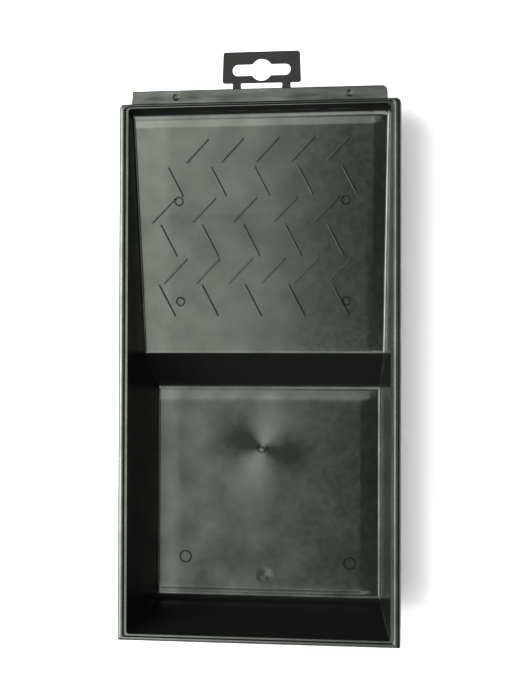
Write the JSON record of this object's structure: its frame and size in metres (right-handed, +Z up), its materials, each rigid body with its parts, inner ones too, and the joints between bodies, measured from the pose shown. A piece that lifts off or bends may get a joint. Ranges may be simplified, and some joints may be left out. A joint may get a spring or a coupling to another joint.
{
  "type": "paint roller tray",
  "caption": "Shallow black plastic roller tray with a deep paint well, a ribbed sloping ramp, a flat rim and a slotted hang tab on two folding necks.",
  "frame": {"origin": "on the resting surface, under the middle of the whole outline, hang tab included", "axes": "+Y from the deep well's front rim to the hang tab, +Z up, +X to the right as seen from the well end"},
  "size_m": [0.156, 0.324, 0.046],
  "materials": {
    "tray_plastic": "satin-gloss moulded black polypropylene",
    "tab_plastic": "matt moulded black polypropylene"
  },
  "bodies": {
    "tray": {"well_floor": "tray_plastic", "well_front_wall": "tray_plastic", "left_well_wall": "tray_plastic", "right_well_wall": "tray_plastic", "left_ramp_wall": "tray_plastic", "right_ramp_wall": "tray_plastic", "ramp_step": "tray_plastic", "ramp_deck": "tray_plastic", "rear_wall": "tray_plastic", "front_rim": "tray_plastic", "left_rim": "tray_plastic", "right_rim": "tray_plastic", "rear_rim": "tray_plastic", "rear_ledge": "tray_plastic", "left_rear_leg": "tray_plastic", "right_rear_leg": "tray_plastic", "rib_row_1": "tray_plastic", "rib_row_2": "tray_plastic", "rib_row_3": "tray_plastic", "rib_row_4": "tray_plastic", "rib_row_5": "tray_plastic", "rib_row_6": "tray_plastic"},
    "tab": {"hang_tab": "tab_plastic", "left_tab_neck": "tab_plastic", "right_tab_neck": "tab_plastic"}
  },
  "joints": [
    {"name": "hang_tab_fold", "type": "hinge", "parent": "tray", "child": "tab", "pos_m": [0.0018, 0.14225, 0.0443], "axis": [1, 0, 0], "range_deg": [-90, 90], "stiffness_Nm_per_rad": 0.01}
  ]
}
